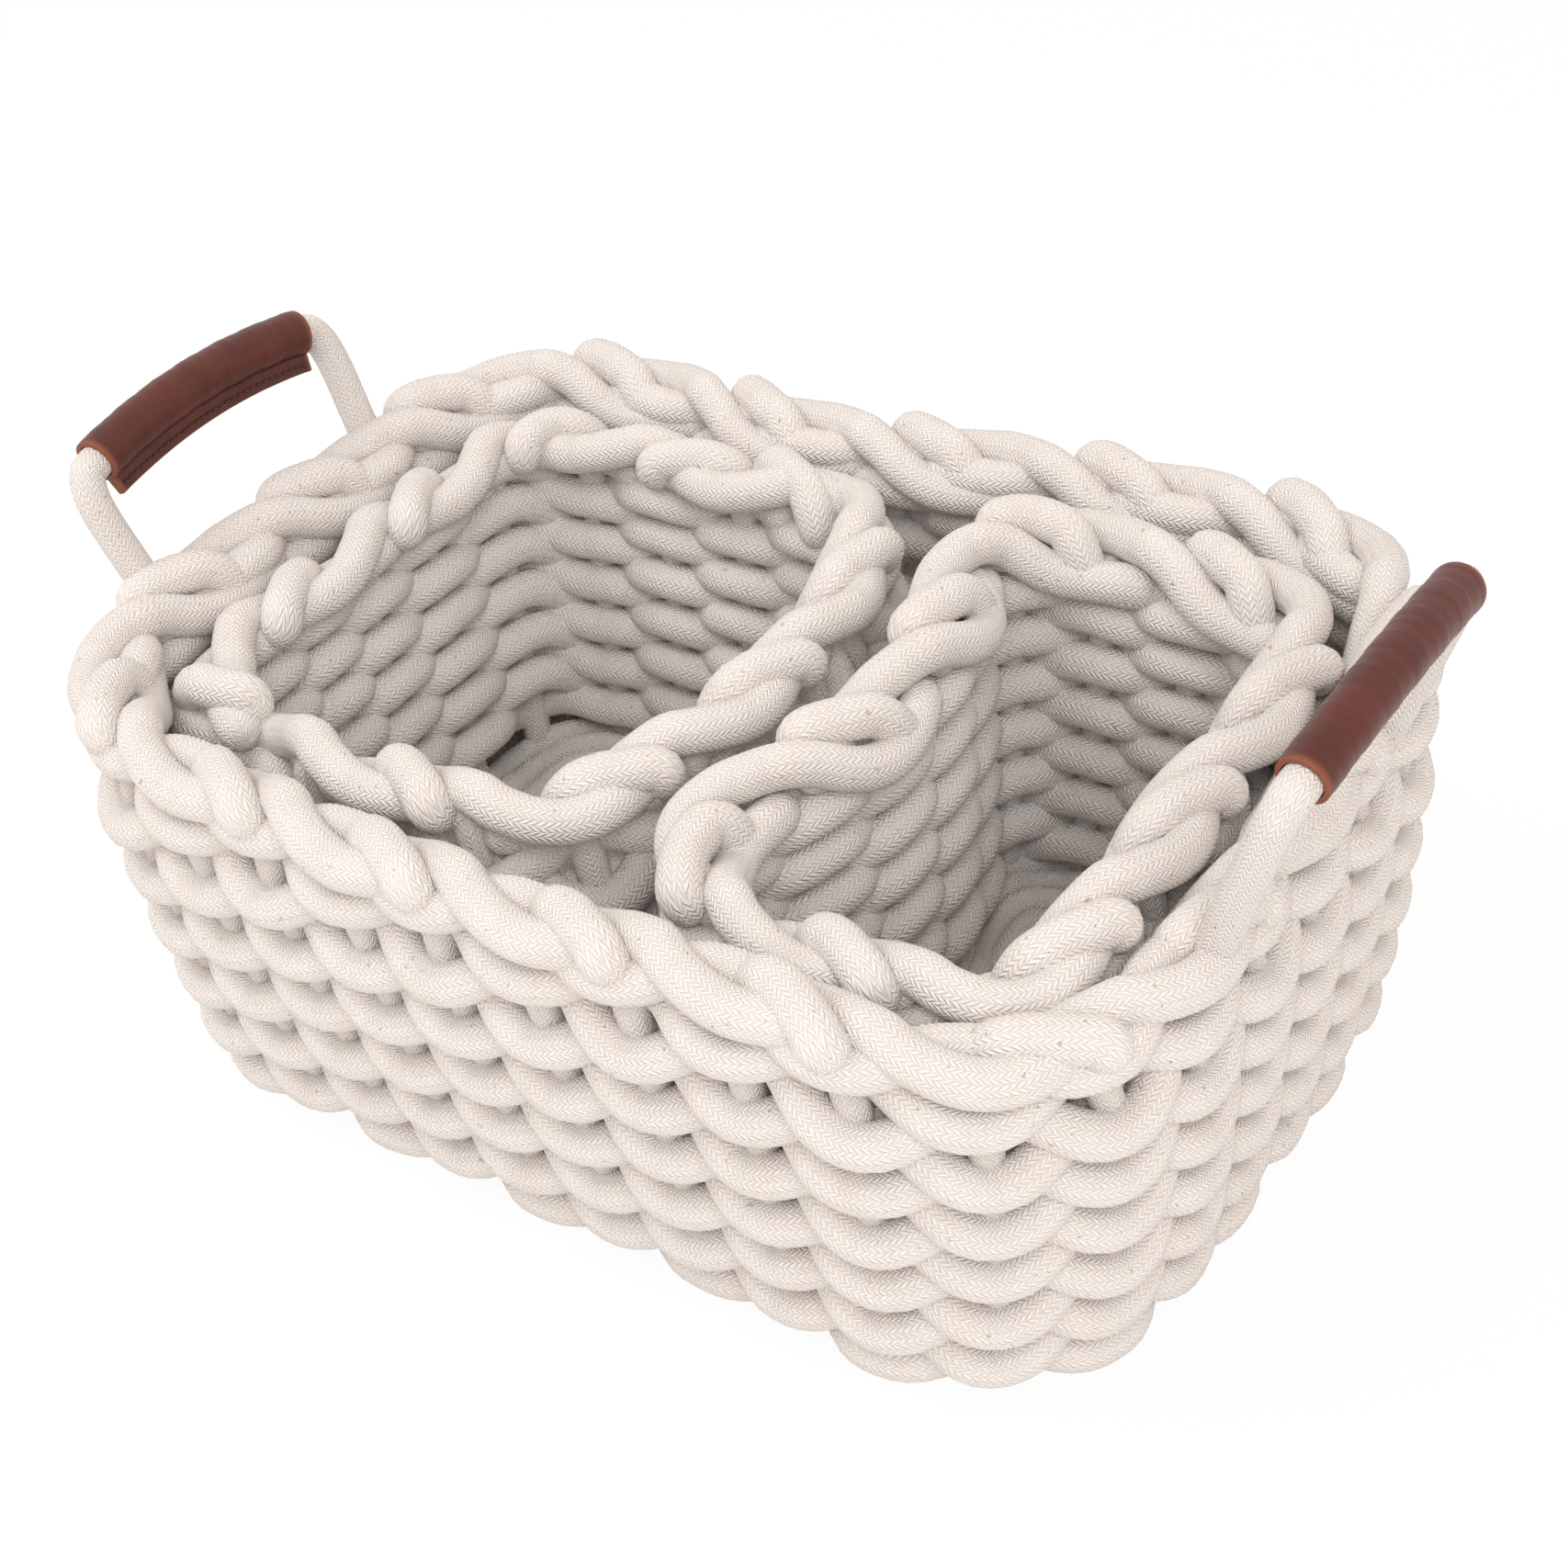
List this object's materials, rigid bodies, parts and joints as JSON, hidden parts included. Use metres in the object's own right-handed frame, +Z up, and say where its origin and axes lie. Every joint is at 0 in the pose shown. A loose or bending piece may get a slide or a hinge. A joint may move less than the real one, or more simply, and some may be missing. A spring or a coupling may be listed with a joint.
{
  "type": "nesting rope baskets",
  "caption": "Rounded rectangular basket woven from thick cotton cord, with cord handles in leather sleeves, holding smaller nesting baskets side by side.",
  "frame": {"origin": "middle of the large basket's underside, on the surface that it stands on", "axes": "+X along the long side towards the right handle, +Y towards the back, +Z up"},
  "size_m": [0.4187, 0.2869, 0.2019],
  "materials": {
    "cotton_cord": "braided natural cotton, matt",
    "brown_leather": "smooth satin reddish brown leather",
    "brown_thread": "waxed sewing thread"
  },
  "bodies": {
    "large_basket": {"large_basket_floor": "cotton_cord", "large_basket_round_1": "cotton_cord", "large_basket_round_2": "cotton_cord", "large_basket_round_3": "cotton_cord", "large_basket_round_4": "cotton_cord", "large_basket_round_5": "cotton_cord", "large_basket_rim": "cotton_cord"},
    "left_handle": {"left_handle_cord": "cotton_cord", "left_handle_sleeve": "brown_leather", "left_sleeve_thread": "brown_thread"},
    "right_handle": {"right_handle_cord": "cotton_cord", "right_handle_sleeve": "brown_leather", "right_sleeve_thread": "brown_thread"},
    "left_inner_basket": {"left_inner_basket_floor": "cotton_cord", "left_inner_basket_round_1": "cotton_cord", "left_inner_basket_round_2": "cotton_cord", "left_inner_basket_round_3": "cotton_cord", "left_inner_basket_round_4": "cotton_cord", "left_inner_basket_round_5": "cotton_cord", "left_inner_basket_round_6": "cotton_cord", "left_inner_basket_rim": "cotton_cord"},
    "right_inner_basket": {"right_inner_basket_floor": "cotton_cord", "right_inner_basket_round_1": "cotton_cord", "right_inner_basket_round_2": "cotton_cord", "right_inner_basket_round_3": "cotton_cord", "right_inner_basket_round_4": "cotton_cord", "right_inner_basket_round_5": "cotton_cord", "right_inner_basket_round_6": "cotton_cord", "right_inner_basket_rim": "cotton_cord"}
  },
  "joints": [
    {"name": "left_handle_swing", "type": "hinge", "parent": "large_basket", "child": "left_handle", "pos_m": [-0.1808, -0.0085, 0.1351], "axis": [0, 1, 0], "range_deg": [-60, 52]},
    {"name": "right_handle_swing", "type": "hinge", "parent": "large_basket", "child": "right_handle", "pos_m": [0.1808, 0.0015, 0.1351], "axis": [0, -1, 0], "range_deg": [-60, 52]},
    {"name": "left_inner_basket_lift", "type": "slide", "parent": "large_basket", "child": "left_inner_basket", "axis": [0, 0, 1], "range_m": [0, 0.2]},
    {"name": "right_inner_basket_lift", "type": "slide", "parent": "large_basket", "child": "right_inner_basket", "axis": [0, 0, 1], "range_m": [0, 0.2]}
  ]
}
